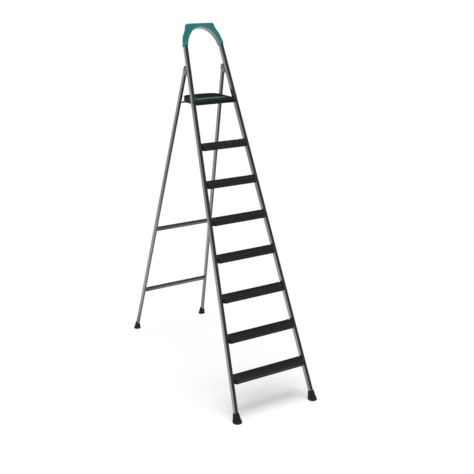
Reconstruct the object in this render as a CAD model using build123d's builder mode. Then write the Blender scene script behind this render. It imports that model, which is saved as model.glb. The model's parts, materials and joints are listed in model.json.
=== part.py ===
from build123d import *
import os
from math import atan2, cos, degrees, radians, sin, tan

os.makedirs("parts", exist_ok=True)

# A folding stepladder, opened and standing on the floor. X runs to the right as seen from the
# front, Y to the back and Z up. The origin is on the floor, in the middle of the space between
# the toes of the front shoes and the heels of the rear feet. Sizes are in millimetres and
# angles in degrees. A slope height is a height measured up the lean of a frame from the floor.

# Front frame of bent rectangular tube
stile_lean = 23.1  # back from upright
stile_taper = 3.78  # each stile draws in towards the other
stile_foot_half_width = 272.6  # middle of the tube, at the floor
stile_width = 20.0
stile_depth = 32.0
stile_corner = 3.5
tube_wall = 1.5
hoop_slope = 2261.0  # slope height at which the stiles run into the hoop
hoop_crown_radius = 105.5
hoop_crown_heading = 45.0  # turn from upright at which the shoulder bend becomes the crown bend

# Hand grip moulded over the hoop
grip_wall = 3.5  # over the front and the back of the tube
grip_outer_wall = 2.0  # over the outer side of the tube
grip_end_heading = 9.2  # turn of the hoop from upright at which the grip begins
grip_crest_wall = 4.6  # over the top of the tube
grip_belly = 9.3  # the outline's reach past the hoop's ends, at three heights up the grip
grip_flank = 2.3
grip_neck = -21.7
grip_shoulder = -30.2  # and at the top
grip_belly_share = 0.255  # those three heights, as shares of the way up
grip_flank_share = 0.49
grip_neck_share = 0.786
grip_crest_depth = 27.0
grip_shoulder_corner = 7.0
grip_clearance = 0.15

# Treads, their end caps and the steel bars under them
tread_count = 7
first_tread_height = 246.0
lower_tread_pitch = 220.8  # from tread to tread, up to the middle one
upper_tread_pitch = 207.1  # from there to the last tread but one
top_tread_pitch = 212.9  # and to the last one
tread_nose = 45.5  # reach ahead of the middle of the stile
tread_back = 27.5  # reach behind it
tread_front_height = 34.5
tread_rear_height = 32.0
tread_rake = 4.0  # the foot of the front face stands back by this much
tread_shell = 3.0
tread_nose_radius = 12.0
cap_length = 22.0
cap_rise = 0.2  # above the tread
cap_proud = 0.2  # ahead of the tread and behind it
cap_corner = 16.0  # cut off the front corner beside the stile
cap_clearance = 0.2
bar_depth = 26.0
bar_height = 15.0
bar_corner = 2.5

# Platform
platform_height = 1781.5
platform_front = 27.0  # reach ahead of the platform's pivot
platform_overhang = 30.0  # reach behind the rest rod, at the middle of the curved edge
platform_rear_bow = 12.0  # depth of that curve
platform_side_clearance = 2.0
platform_front_skirt = 23.0
platform_rear_skirt = 28.5
platform_level_from = 120.0  # behind the pivot, where the skirt reaches its full depth
platform_plate = 5.0
platform_wall = 3.0
platform_rim = 7.0  # height of the raised rim along the sides and the back
platform_rim_width = 7.0
platform_rim_from = 20.0  # behind the pivot, where the rim reaches its full height
platform_rear_corner = 62.0
platform_front_corner = 8.0
platform_pin_drop = 11.0
pivot_block_length = 18.0
pivot_block_depth = 18.0
rest_rib_width = 8.0
rest_rib_spread = 70.0  # from the middle to each of the ribs that sit on the rest rod
rest_rib_reach = 42.0
mat_margin = 14.0
mat_recess = 2.0
mat_proud = 0.6
mat_clearance = 0.2
platform_pin_radius = 4.0
platform_pin_head_radius = 6.5
platform_pin_head = 2.5

# Rear frame
foot_spread = 1502.0  # from the stiles to the rear legs along the floor
leg_foot_half_width = 272.6
leg_width = 16.0
leg_depth = 29.0
leg_corner = 4.0
leg_above_hinge = 13.0
upper_brace_height = 839.8
lower_brace_height = 338.8
brace_size = 23.4
brace_corner = 3.0
brace_wall = 1.2
rest_rod_radius = 5.0
rest_rod_clearance = 0.3
leg_cap_flange = 8.0
leg_cap_plug = 14.0
leg_cap_clearance = 0.1

# Hinges
hinge_slope = 2144.0
hinge_offset = 46.0  # behind the middle of the stile
bracket_sheet = 2.5
bracket_gap = 1.6  # from the leg to each cheek
bracket_above = 8.0
bracket_below = 42.0
bracket_eye_radius = 11.0
hinge_pin_radius = 4.0
hinge_pin_head_radius = 7.0
hinge_pin_head = 3.0
hinge_running_clearance = 0.05
bush_radius = 6.0
bush_proud = 0.5
rivet_radius = 2.4
rivet_head_radius = 4.5
rivet_head = 1.8
rivet_tail = 4.0  # length inside the stile's back wall
upper_rivet_drop = 14.0  # below the hinge
lower_rivet_drop = 32.0
hole_clearance = 0.05

# Rubber shoes and feet
shoe_slope = 56.0  # slope height of the collar
shoe_wall = 3.5
shoe_sole_width = 59.0
shoe_toe = 27.5  # ahead of the stile at the floor
shoe_heel = 31.5  # behind it
shoe_sole_corner = 28.0
shoe_socket_slope = 16.0  # slope height of the tube's lower end
foot_slope = 48.0
foot_wall = 5.0
foot_sole_width = 50.0
foot_toe = 25.5
foot_heel = 24.5
foot_sole_corner = 24.0
foot_socket_slope = 14.0
sole_inset = 3.0  # each sole stands in from the tube by this much
socket_clearance = 0.1

# Places worked out from the sizes
lean = radians(stile_lean)
taper = radians(stile_taper)
front_foot_y = (shoe_toe - foot_spread - foot_heel) / 2
rear_foot_y = front_foot_y + foot_spread

# The plane of each frame: local x to the right, y up the slope, z to the front
front_frame = Plane(
    origin=(0, front_foot_y, 0), x_dir=(1, 0, 0), z_dir=(0, -cos(lean), sin(lean))
)
hinge = front_frame.from_local_coords((0, hinge_slope, -hinge_offset))
hinge_half_width = stile_foot_half_width - hinge_slope * tan(taper)
leg_lean = atan2(rear_foot_y - hinge.Y, hinge.Z)
rear_frame = Plane(
    origin=(0, rear_foot_y, 0), x_dir=(1, 0, 0), z_dir=(0, -cos(leg_lean), -sin(leg_lean))
)
leg_hinge_slope = hinge.Z / cos(leg_lean)
leg_taper = atan2(leg_foot_half_width - hinge_half_width, leg_hinge_slope)

# The hoop is three tangent arcs: a shoulder, the crown and the other shoulder
crown_heading = radians(hoop_crown_heading)
hoop_half_width = stile_foot_half_width - hoop_slope * tan(taper)
shoulder_radius = (hoop_half_width - hoop_crown_radius * cos(crown_heading)) / (
    cos(taper) - cos(crown_heading)
)
shoulder_x = hoop_half_width - shoulder_radius * cos(taper)
shoulder_slope = hoop_slope - shoulder_radius * sin(taper)
crown_slope = shoulder_slope + (shoulder_radius - hoop_crown_radius) * sin(crown_heading)

# The platform turns on pins through the middle of the stiles
platform_pin_z = platform_height - platform_pin_drop
platform_pin_slope = platform_pin_z / cos(lean)
platform_pin_y = front_foot_y + platform_pin_z * tan(lean)
platform_pin_half_width = stile_foot_half_width - platform_pin_slope * tan(taper)
platform_half_width = (
    platform_pin_half_width - stile_width / 2 / cos(taper) - platform_side_clearance
)

# The rest rod lies under the ribs of the platform, on the line of the rear legs
rest_rod_z = platform_height - platform_rear_skirt - rest_rod_clearance - rest_rod_radius
rest_rod_y = rear_foot_y - rest_rod_z * tan(leg_lean)
platform_back = rest_rod_y - platform_pin_y + platform_overhang

sides = (("left", -1), ("right", 1))
reach = 2 * stile_foot_half_width  # longer than any cross piece before it is trimmed


def across_tube(frame, foot_half_width, draw_in, side, slope):
    """The plane square across a tube: local x across it, y to the back, z up the tube."""
    middle = frame.from_local_coords((side * (foot_half_width - slope * tan(draw_in)), slope, 0))
    across = frame.x_dir * cos(draw_in) + frame.y_dir * (side * sin(draw_in))
    along = frame.y_dir * cos(draw_in) - frame.x_dir * (side * sin(draw_in))
    return Plane(origin=middle, x_dir=across, z_dir=along)


def across_stile(side, slope):
    return across_tube(front_frame, stile_foot_half_width, taper, side, slope)


def across_leg(side, slope):
    return across_tube(rear_frame, leg_foot_half_width, leg_taper, side, slope)


def inner_face(tube, side, width, gap=0.0):
    """The plane on the inner face of a tube, or a gap inside it, facing the ladder's middle."""
    inward = tube.x_dir * -side
    return Plane(origin=tube.origin + inward * (width / 2 + gap), x_dir=tube.z_dir, z_dir=inward)


def tube_section(width, depth, corner, wall):
    """A hollow rounded rectangle, drawn in the open sketch."""
    RectangleRounded(width, depth, corner)
    inner_corner = max(corner - wall, wall / 2)
    RectangleRounded(width - 2 * wall, depth - 2 * wall, inner_corner, mode=Mode.SUBTRACT)


def hoop_arcs(start_heading):
    """The middle line of the hoop from right to left, from a heading on, in the open line."""
    shoulder_turn = hoop_crown_heading - start_heading
    crown_turn = 180 - 2 * hoop_crown_heading
    left_heading = 180 - hoop_crown_heading
    CenterArc((shoulder_x, shoulder_slope), shoulder_radius, start_heading, shoulder_turn)
    CenterArc((0, crown_slope), hoop_crown_radius, hoop_crown_heading, crown_turn)
    CenterArc((-shoulder_x, shoulder_slope), shoulder_radius, left_heading, shoulder_turn)


def beside_hoop(side, heading, offset):
    """The point on the hoop's shoulder at a heading, moved outwards by the offset."""
    radius = shoulder_radius + offset
    half_width = shoulder_x + radius * cos(radians(heading))
    return (side * half_width, shoulder_slope + radius * sin(radians(heading)))


def across_hoop(heading):
    """The plane square across the right shoulder: local x outwards, y to the back, z along."""
    turn = radians(heading)
    middle = front_frame.from_local_coords(beside_hoop(1, heading, 0))
    across = front_frame.x_dir * cos(turn) + front_frame.y_dir * sin(turn)
    along = front_frame.y_dir * cos(turn) - front_frame.x_dir * sin(turn)
    return Plane(origin=middle, x_dir=across, z_dir=along)


def cross_hole(place, radius, length):
    """A hole along X through a place, cut from the open part."""
    with Locations(place):
        Cylinder(radius, length, rotation=(0, 90, 0), mode=Mode.SUBTRACT)


def keep(piece, name):
    """Labels a finished piece and writes it under its name."""
    piece.part.label = name
    export_step(piece.part, f"parts/{name}.step")


# Stiles: straight tubes from the shoes to the hoop, bored for the platform pins and the rivets
for side_name, side in sides:
    platform_pin_place = (side * platform_pin_half_width, platform_pin_y, platform_pin_z)
    bracket_plane = across_stile(side, hinge_slope)
    with BuildPart() as stile:
        with BuildSketch(across_stile(side, shoe_socket_slope)):
            tube_section(stile_width, stile_depth, stile_corner, tube_wall)
        extrude(amount=(hoop_slope - shoe_socket_slope) / cos(taper))
        cross_hole(platform_pin_place, platform_pin_radius + hole_clearance, 3 * stile_width)
        for drop in (upper_rivet_drop, lower_rivet_drop):
            rivet_place = bracket_plane.from_local_coords((0, 0, -drop))
            with BuildSketch(Plane(origin=rivet_place, z_dir=bracket_plane.y_dir)):
                Circle(rivet_radius + hole_clearance)
            extrude(amount=stile_depth, mode=Mode.SUBTRACT)
    keep(stile, f"{side_name}_stile")

# Hoop: the bent tube over the top
with BuildPart() as hoop:
    with BuildLine(front_frame):
        hoop_arcs(stile_taper)
    with BuildSketch(across_stile(1, hoop_slope)):
        tube_section(stile_width, stile_depth, stile_corner, tube_wall)
    sweep()
keep(hoop, "hoop")

# Hand grip: a band over the front, back and outer side of the hoop, with a thinner flat crest
grip_outer = stile_width / 2 + grip_outer_wall
grip_top_slope = crown_slope + hoop_crown_radius + stile_width / 2 + grip_crest_wall
grip_height = grip_top_slope - hoop_slope


def grip_place(side, past_hoop, share):
    """A corner of the crest's outline, past the hoop's end and a share of the way up."""
    return (side * (hoop_half_width + past_hoop), hoop_slope + share * grip_height)


with BuildPart() as hand_grip:
    with BuildLine(front_frame) as grip_line:
        hoop_arcs(grip_end_heading)
    with BuildSketch(across_hoop(grip_end_heading)):
        with Locations(((grip_outer - stile_width / 2) / 2, 0)):
            Rectangle(stile_width / 2 + grip_outer, stile_depth + 2 * grip_wall)
    sweep()
    with BuildSketch(front_frame) as crest:
        with BuildLine():
            for side in (1, -1):
                low = beside_hoop(side, grip_end_heading, grip_outer)
                flank = grip_place(side, grip_flank, grip_flank_share)
                neck = grip_place(side, grip_neck, grip_neck_share)
                shoulder = grip_place(side, grip_shoulder, 1)
                Line(beside_hoop(side, grip_end_heading, 0), low)
                ThreePointArc(low, grip_place(side, grip_belly, grip_belly_share), flank)
                Polyline(flank, neck, shoulder)
            Line(grip_place(1, grip_shoulder, 1), grip_place(-1, grip_shoulder, 1))
            hoop_arcs(grip_end_heading)
        make_face()
        fillet(crest.vertices().group_by(Axis.Y)[-1], grip_shoulder_corner)
    extrude(amount=grip_crest_depth / 2, both=True)
    with BuildSketch(across_hoop(grip_end_heading)) as channel:
        channel_width = stile_width + 2 * grip_clearance
        RectangleRounded(channel_width, stile_depth + 2 * grip_clearance, stile_corner)
        with Locations((-stile_width / 2, 0)):
            Rectangle(stile_width, stile_depth + 2 * grip_clearance)
    sweep(path=grip_line.wires()[0], mode=Mode.SUBTRACT)
keep(hand_grip, "hand_grip")

# Treads: a moulded cover on a steel bar, with a cap between the cover and each stile
stile_faces = {side: inner_face(across_stile(side, 0), side, stile_width) for _, side in sides}
cover_ends = {
    side: inner_face(across_stile(side, 0), side, stile_width, cap_length) for _, side in sides
}
bar_drop = tread_shell + bar_height / 2


def tread_height(number):
    """The height of a tread's top over the floor."""
    lower_steps = min(number - 1, tread_count // 2)
    top_steps = max(number + 1 - tread_count, 0)
    upper_steps = number - 1 - lower_steps - top_steps
    height = first_tread_height + lower_steps * lower_tread_pitch
    return height + upper_steps * upper_tread_pitch + top_steps * top_tread_pitch


def tread_plane(number):
    """The upright plane across a tread: local x to the back, y up, from the tread's top."""
    height = tread_height(number)
    place = (-reach / 2, front_foot_y + height * tan(lean), height)
    return Plane(origin=place, x_dir=(0, 1, 0), z_dir=(1, 0, 0))


def tread_outline(proud, rise):
    """The outline of a tread's end, in the open sketch."""
    front = -tread_nose - proud
    back = tread_back + proud
    with BuildLine() as outline:
        Polyline(
            (back, rise),
            (front, rise),
            (front + tread_rake, -tread_front_height),
            (front + tread_rake + tread_nose_radius, -tread_front_height),
            (back - tread_nose_radius, -tread_rear_height),
            (back, -tread_rear_height),
            close=True,
        )
    make_face(outline.edges())


for number in range(1, tread_count + 1):
    with BuildPart() as tread:
        with BuildSketch(tread_plane(number)) as outline:
            tread_outline(0, 0)
            fillet(outline.vertices().group_by(Axis.Y)[-1].sort_by(Axis.X)[0], tread_nose_radius)
            with BuildLine():
                Polyline(
                    (tread_back - tread_shell, -tread_shell),
                    (-tread_nose + tread_shell + tread_nose_radius / 2, -tread_shell),
                    (-tread_nose + tread_shell + tread_rake, -tread_nose_radius),
                    (-tread_nose + tread_shell + tread_rake, -2 * tread_front_height),
                    (tread_back - tread_shell, -2 * tread_front_height),
                    close=True,
                )
            make_face(mode=Mode.SUBTRACT)
        extrude(amount=reach)
        for _, side in sides:
            split(bisect_by=cover_ends[side], keep=Keep.TOP)
    keep(tread, f"tread_{number}")

    with BuildPart() as bar:
        with BuildSketch(tread_plane(number)):
            with Locations((-bar_drop * tan(lean), -bar_drop)):
                tube_section(bar_depth, bar_height, bar_corner, tube_wall)
        extrude(amount=reach)
        for _, side in sides:
            split(bisect_by=stile_faces[side], keep=Keep.TOP)
    keep(bar, f"tread_bar_{number}")

def cut_cap_corner(side, number):
    """Cut the front corner beside the stile off a cap, in the open part."""
    height = tread_height(number)
    front = front_foot_y + height * tan(lean) - tread_nose
    face = side * (stile_foot_half_width - height / cos(lean) * tan(taper))
    face -= side * stile_width / 2 / cos(taper)
    with BuildSketch(Plane.XY.offset(height - 2 * tread_front_height)) as wedge:
        with BuildLine():
            Polyline(
                (face - side * cap_corner, front),
                (face - side * cap_corner, front - cap_corner),
                (face + side * cap_corner, front - cap_corner),
                (face + side * cap_corner, front + 2 * cap_corner),
                close=True,
            )
        make_face()
    extrude(wedge.sketch, amount=3 * tread_front_height, mode=Mode.SUBTRACT)


for side_name, side in sides:
    with BuildPart() as caps:
        for number in range(1, tread_count + 1):
            with BuildSketch(tread_plane(number)) as outline:
                tread_outline(cap_proud, cap_rise)
                fillet(
                    outline.vertices().group_by(Axis.Y)[-1].sort_by(Axis.X)[0], tread_nose_radius
                )
                with Locations((-bar_drop * tan(lean), -bar_drop)):
                    RectangleRounded(
                        bar_depth + 2 * cap_clearance,
                        bar_height + 2 * cap_clearance,
                        bar_corner,
                        mode=Mode.SUBTRACT,
                    )
            extrude(amount=reach)
        split(bisect_by=stile_faces[side], keep=Keep.TOP)
        split(bisect_by=cover_ends[side], keep=Keep.BOTTOM)
        for number in range(1, tread_count + 1):
            cut_cap_corner(side, number)
    keep(caps, f"{side_name}_tread_caps")

# Platform: a moulded tray that tips up on two pins, with a raised rim along its sides and back,
# a skirt that deepens to the rear and two ribs that sit on the rest rod
platform_plane = Plane(origin=(0, platform_pin_y, platform_height - platform_rear_skirt))


def platform_outline(inset, mode=Mode.ADD):
    """The platform seen from above, drawn in by the inset, in the open sketch."""
    front = -platform_front + inset
    side_back = platform_back - platform_rear_bow - inset
    front_half_width = platform_half_width - front * tan(taper) - inset
    back_half_width = platform_half_width - side_back * tan(taper) - inset
    with BuildSketch(mode=Mode.PRIVATE) as plan:
        with BuildLine():
            Polyline(
                (-back_half_width, side_back),
                (-front_half_width, front),
                (front_half_width, front),
                (back_half_width, side_back),
            )
            ThreePointArc(
                (back_half_width, side_back),
                (0, platform_back - inset),
                (-back_half_width, side_back),
            )
        make_face()
        corners = plan.vertices().sort_by(Axis.Y)
        fillet(corners[:2], platform_front_corner)
    with BuildSketch(mode=Mode.PRIVATE) as rounded:
        add(plan.sketch)
        corners = rounded.vertices().sort_by(Axis.Y)
        fillet(corners[-2:], max(platform_rear_corner - inset, platform_front_corner))
    add(rounded.sketch, mode=mode)


rest_rib_y = rest_rod_y - platform_pin_y
platform_front_y = platform_pin_y - platform_front
with BuildPart() as platform:
    with BuildSketch(platform_plane):
        platform_outline(0)
    extrude(amount=platform_rear_skirt + platform_rim)
    with BuildSketch(platform_plane.offset(platform_rear_skirt)):
        platform_outline(platform_rim_width)
    extrude(amount=platform_rim, mode=Mode.SUBTRACT)
    with BuildSketch(Plane.YZ):
        with BuildLine():
            Polyline(
                (platform_front_y, platform_height),
                (platform_pin_y + platform_rim_from, platform_height + platform_rim),
                (platform_front_y, platform_height + platform_rim),
                close=True,
            )
        make_face()
        with BuildLine():
            Polyline(
                (platform_front_y, platform_height - platform_front_skirt),
                (platform_pin_y + platform_level_from, platform_height - platform_rear_skirt),
                (platform_front_y, platform_height - platform_rear_skirt),
                close=True,
            )
        make_face()
    extrude(amount=reach, both=True, mode=Mode.SUBTRACT)
    with BuildSketch(platform_plane):
        platform_outline(platform_wall)
        for _, side in sides:
            with Locations((side * platform_half_width, 0)):
                Rectangle(2 * pivot_block_length, pivot_block_depth, mode=Mode.SUBTRACT)
            with Locations((side * rest_rib_spread, rest_rib_y)):
                Rectangle(rest_rib_width, rest_rib_reach, mode=Mode.SUBTRACT)
    extrude(amount=platform_rear_skirt - platform_plate, mode=Mode.SUBTRACT)
    with BuildSketch(platform_plane.offset(platform_rear_skirt - mat_recess)):
        platform_outline(mat_margin)
    extrude(amount=platform_rear_skirt, mode=Mode.SUBTRACT)
    for _, side in sides:
        pin_place = (side * platform_half_width, platform_pin_y, platform_pin_z)
        bore_radius = platform_pin_radius + hinge_running_clearance
        cross_hole(pin_place, bore_radius, 2 * pivot_block_length)
keep(platform, "platform")

with BuildPart() as platform_mat:
    with BuildSketch(platform_plane.offset(platform_rear_skirt - mat_recess)):
        platform_outline(mat_margin + mat_clearance)
    extrude(amount=mat_recess + mat_proud)
keep(platform_mat, "platform_mat")

for side_name, side in sides:
    head_seat = (stile_width / 2 + platform_pin_head_radius * sin(taper)) / cos(taper)
    shank_end = stile_width / 2 / cos(taper) + platform_side_clearance + pivot_block_length / 2
    pin_place = (side * platform_pin_half_width, platform_pin_y, platform_pin_z)
    with BuildPart() as platform_pin:
        with BuildSketch(Plane(origin=pin_place, z_dir=(side, 0, 0)).offset(-shank_end)):
            Circle(platform_pin_radius)
        extrude(amount=shank_end + head_seat)
        with BuildSketch(Plane(origin=pin_place, z_dir=(side, 0, 0)).offset(head_seat)):
            Circle(platform_pin_head_radius)
        extrude(amount=platform_pin_head)
        rims = platform_pin.edges().sort_by(Axis.X)
        fillet(rims[-1] if side > 0 else rims[0], platform_pin_head / 2)
    keep(platform_pin, f"{side_name}_platform_pin")

# Rear legs: straight tubes bored for the hinge bushes, plugged at the top
for side_name, side in sides:
    hinge_place = (side * hinge_half_width, hinge.Y, hinge.Z)
    leg_top = leg_hinge_slope + leg_above_hinge
    with BuildPart() as leg:
        with BuildSketch(across_leg(side, foot_socket_slope)):
            tube_section(leg_width, leg_depth, leg_corner, tube_wall)
        extrude(amount=(leg_top - foot_socket_slope) / cos(leg_taper))
        cross_hole(hinge_place, bush_radius + hole_clearance, 3 * leg_width)
    keep(leg, f"{side_name}_rear_leg")

    with BuildPart() as leg_cap:
        with BuildSketch(across_leg(side, leg_top)):
            RectangleRounded(leg_width, leg_depth, leg_corner)
        extrude(amount=leg_cap_flange)
        chamfer(leg_cap.faces().sort_by(Axis.Z)[-1].edges(), leg_cap_flange / 3)
        with BuildSketch(across_leg(side, leg_top)):
            shrink = 2 * (tube_wall + leg_cap_clearance)
            plug_corner = max(leg_corner - tube_wall, tube_wall / 2)
            RectangleRounded(leg_width - shrink, leg_depth - shrink, plug_corner)
        extrude(amount=-min(leg_cap_plug, leg_above_hinge - bush_radius - 1))
    keep(leg_cap, f"{side_name}_leg_cap")

    with BuildPart() as bush:
        bush_length = leg_width / cos(leg_taper) + 2 * bush_proud
        with BuildSketch(Plane(origin=hinge_place, z_dir=(1, 0, 0)).offset(-bush_length / 2)):
            Circle(bush_radius)
            Circle(hinge_pin_radius + hinge_running_clearance, mode=Mode.SUBTRACT)
        extrude(amount=bush_length)
    keep(bush, f"{side_name}_hinge_bush")

# Braces and rest rod between the rear legs
leg_faces = {side: inner_face(across_leg(side, 0), side, leg_width) for _, side in sides}


def rear_cross_plane(height):
    """The plane across a rear cross piece at a height, square to X and lined up with the legs."""
    slope = height / cos(leg_lean)
    place = rear_frame.from_local_coords((0, slope, 0)) - Vector(reach / 2, 0, 0)
    return Plane(origin=place, x_dir=-rear_frame.z_dir, z_dir=(1, 0, 0))


for brace_name, height in (("upper", upper_brace_height), ("lower", lower_brace_height)):
    with BuildPart() as brace:
        with BuildSketch(rear_cross_plane(height)):
            tube_section(brace_size, brace_size, brace_corner, brace_wall)
        extrude(amount=reach)
        for _, side in sides:
            split(bisect_by=leg_faces[side], keep=Keep.TOP)
    keep(brace, f"{brace_name}_brace")

with BuildPart() as rest_rod:
    with BuildSketch(rear_cross_plane(rest_rod_z)):
        Circle(rest_rod_radius)
    extrude(amount=reach)
    for _, side in sides:
        split(bisect_by=leg_faces[side], keep=Keep.TOP)
keep(rest_rod, "platform_rest_rod")

# Hinge brackets: a folded channel on the back of each stile, with the leg between its cheeks
cheek_half_gap = leg_width / 2 + bracket_gap
web_width = 2 * (cheek_half_gap + bracket_sheet)
bracket_height = bracket_above + bracket_below
for side_name, side in sides:
    hinge_place = (side * hinge_half_width, hinge.Y, hinge.Z)
    stile_plane = across_stile(side, hinge_slope)
    web_middle = (0, stile_depth / 2 + bracket_sheet / 2, (bracket_above - bracket_below) / 2)
    with BuildPart() as bracket:
        web_plane = Plane(
            origin=stile_plane.from_local_coords(web_middle),
            x_dir=stile_plane.x_dir,
            z_dir=stile_plane.y_dir,
        )
        with BuildSketch(web_plane):
            Rectangle(web_width, bracket_height)
        extrude(amount=bracket_sheet / 2, both=True)
        for cheek in (-cheek_half_gap - bracket_sheet, cheek_half_gap):
            cheek_plane = Plane(
                origin=stile_plane.from_local_coords((cheek, 0, 0)),
                x_dir=stile_plane.y_dir,
                z_dir=stile_plane.x_dir,
            )
            with BuildSketch(cheek_plane):
                with Locations(web_middle[1:]):
                    Rectangle(bracket_sheet, bracket_height)
                with Locations((hinge_offset, 0)):
                    Circle(bracket_eye_radius)
                make_hull()
            extrude(amount=bracket_sheet)
        cross_hole(hinge_place, hinge_pin_radius + hole_clearance, 2 * web_width)
        for drop in (upper_rivet_drop, lower_rivet_drop):
            rivet_place = stile_plane.from_local_coords((0, 0, -drop))
            with BuildSketch(Plane(origin=rivet_place, z_dir=stile_plane.y_dir)):
                Circle(rivet_radius + hole_clearance)
            extrude(amount=stile_depth, mode=Mode.SUBTRACT)
    keep(bracket, f"{side_name}_hinge_bracket")

    with BuildPart() as hinge_pin:
        pin_seat = (web_width / 2 + hinge_pin_head_radius * sin(taper)) / cos(taper)
        with BuildSketch(Plane(origin=hinge_place, z_dir=(1, 0, 0)).offset(-pin_seat)):
            Circle(hinge_pin_radius)
        extrude(amount=2 * pin_seat)
        for facing in (-1, 1):
            head_plane = Plane(origin=hinge_place, z_dir=(facing, 0, 0)).offset(pin_seat)
            with BuildSketch(head_plane):
                Circle(hinge_pin_head_radius)
            extrude(amount=hinge_pin_head)
        rims = hinge_pin.edges().sort_by(Axis.X)
        fillet((rims[0], rims[-1]), hinge_pin_head / 2)
    keep(hinge_pin, f"{side_name}_hinge_pin")

with BuildPart() as rivets:
    for _, side in sides:
        stile_plane = across_stile(side, hinge_slope)
        for drop in (upper_rivet_drop, lower_rivet_drop):
            seat = (0, stile_depth / 2 + bracket_sheet, -drop)
            seat_plane = Plane(
                origin=stile_plane.from_local_coords(seat), z_dir=stile_plane.y_dir
            )
            with BuildSketch(seat_plane):
                Circle(rivet_head_radius)
            extrude(amount=rivet_head, taper=30)
            with BuildSketch(seat_plane):
                Circle(rivet_radius)
            extrude(amount=-bracket_sheet - rivet_tail)
keep(rivets, "bracket_rivets")


# Shoes and feet: a rubber boot flares from the tube to a flat sole
def boot(tube, collar, socket, sole, depth):
    """A boot from a collar on the tube's plane to a sole on the floor, bored for the tube."""
    with BuildPart() as rubber:
        with BuildSketch(tube(collar["slope"])):
            RectangleRounded(*collar["size"])
        with BuildSketch(Plane(origin=sole["place"])):
            RectangleRounded(*sole["size"])
        loft()
        with BuildSketch(tube(socket["slope"])):
            RectangleRounded(*socket["size"])
        extrude(amount=depth, mode=Mode.SUBTRACT)
    return rubber


for side_name, side in sides:
    shoe = boot(
        lambda slope: across_stile(side, slope),
        {
            "slope": shoe_slope,
            "size": (
                stile_width + 2 * shoe_wall,
                stile_depth + 2 * shoe_wall,
                stile_corner + shoe_wall,
            ),
        },
        {
            "slope": shoe_socket_slope,
            "size": (
                stile_width + 2 * socket_clearance,
                stile_depth + 2 * socket_clearance,
                stile_corner,
            ),
        },
        {
            "place": (
                side * (stile_foot_half_width - sole_inset),
                front_foot_y + (shoe_heel - shoe_toe) / 2,
                0,
            ),
            "size": (shoe_sole_width, shoe_toe + shoe_heel, shoe_sole_corner),
        },
        2 * shoe_slope,
    )
    keep(shoe, f"{side_name}_front_shoe")

    foot = boot(
        lambda slope: across_leg(side, slope),
        {
            "slope": foot_slope,
            "size": (leg_width + 2 * foot_wall, leg_depth + 2 * foot_wall, leg_corner + foot_wall),
        },
        {
            "slope": foot_socket_slope,
            "size": (
                leg_width + 2 * socket_clearance,
                leg_depth + 2 * socket_clearance,
                leg_corner,
            ),
        },
        {
            "place": (
                side * (leg_foot_half_width - sole_inset),
                rear_foot_y + (foot_heel - foot_toe) / 2,
                0,
            ),
            "size": (foot_sole_width, foot_toe + foot_heel, foot_sole_corner),
        },
        2 * foot_slope,
    )
    keep(foot, f"{side_name}_rear_foot")

print("hinge axis", hinge, "leg lean", degrees(leg_lean), "leg taper", degrees(leg_taper))
print("platform pin", platform_pin_half_width, platform_pin_y, platform_pin_z)
print("rest rod", rest_rod_y, rest_rod_z, "shoulder radius", shoulder_radius)
print("front foot y", front_foot_y, "rear foot y", rear_foot_y)
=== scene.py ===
import json
from math import cos, hypot, pi, radians, sin, sqrt, tan

import bmesh
import bpy
from mathutils import Matrix, Vector


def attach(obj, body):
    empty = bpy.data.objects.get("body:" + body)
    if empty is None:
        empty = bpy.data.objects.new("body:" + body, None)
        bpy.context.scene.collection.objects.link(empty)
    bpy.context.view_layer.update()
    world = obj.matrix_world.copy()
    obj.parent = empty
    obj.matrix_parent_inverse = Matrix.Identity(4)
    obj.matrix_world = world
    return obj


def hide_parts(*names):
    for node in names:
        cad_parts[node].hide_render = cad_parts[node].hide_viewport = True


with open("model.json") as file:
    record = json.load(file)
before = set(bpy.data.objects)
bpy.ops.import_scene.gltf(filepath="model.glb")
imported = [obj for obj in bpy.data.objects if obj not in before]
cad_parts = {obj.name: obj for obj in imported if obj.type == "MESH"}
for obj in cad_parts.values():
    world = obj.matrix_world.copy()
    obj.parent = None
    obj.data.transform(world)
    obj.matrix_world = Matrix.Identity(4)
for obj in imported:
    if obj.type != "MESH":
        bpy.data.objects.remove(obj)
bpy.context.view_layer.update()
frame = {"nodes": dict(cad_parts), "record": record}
nodes = frame["nodes"]
sides = (("left", -1), ("right", 1))
hair = 0.0001  # places this near to each other count as one
weld = 0.000002  # vertices this near to each other are merged

# The ladder's own sizes, in metres, as the frame has them. X runs to the right as seen from the
# front, Y to the back and Z up.
lean = radians(23.1)
taper = radians(3.78)
front_foot_y = -0.7495
rear_foot_y = 0.7525
stile_half_width = 0.2726
stile_width = 0.020
stile_depth = 0.032
stile_corner = 0.0035
leg_lean = radians(17.5642)
leg_taper = radians(3.9536)
leg_width = 0.016
leg_depth = 0.029
leg_corner = 0.004
hoop_slope = 2.261
crown_radius = 0.1055
crown_heading = radians(45)
hoop_half_width = stile_half_width - hoop_slope * tan(taper)
shoulder_radius = (hoop_half_width - crown_radius * cos(crown_heading)) / (
    cos(taper) - cos(crown_heading)
)
shoulder_x = hoop_half_width - shoulder_radius * cos(taper)
shoulder_slope = hoop_slope - shoulder_radius * sin(taper)
crown_slope = shoulder_slope + (shoulder_radius - crown_radius) * sin(crown_heading)

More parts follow.
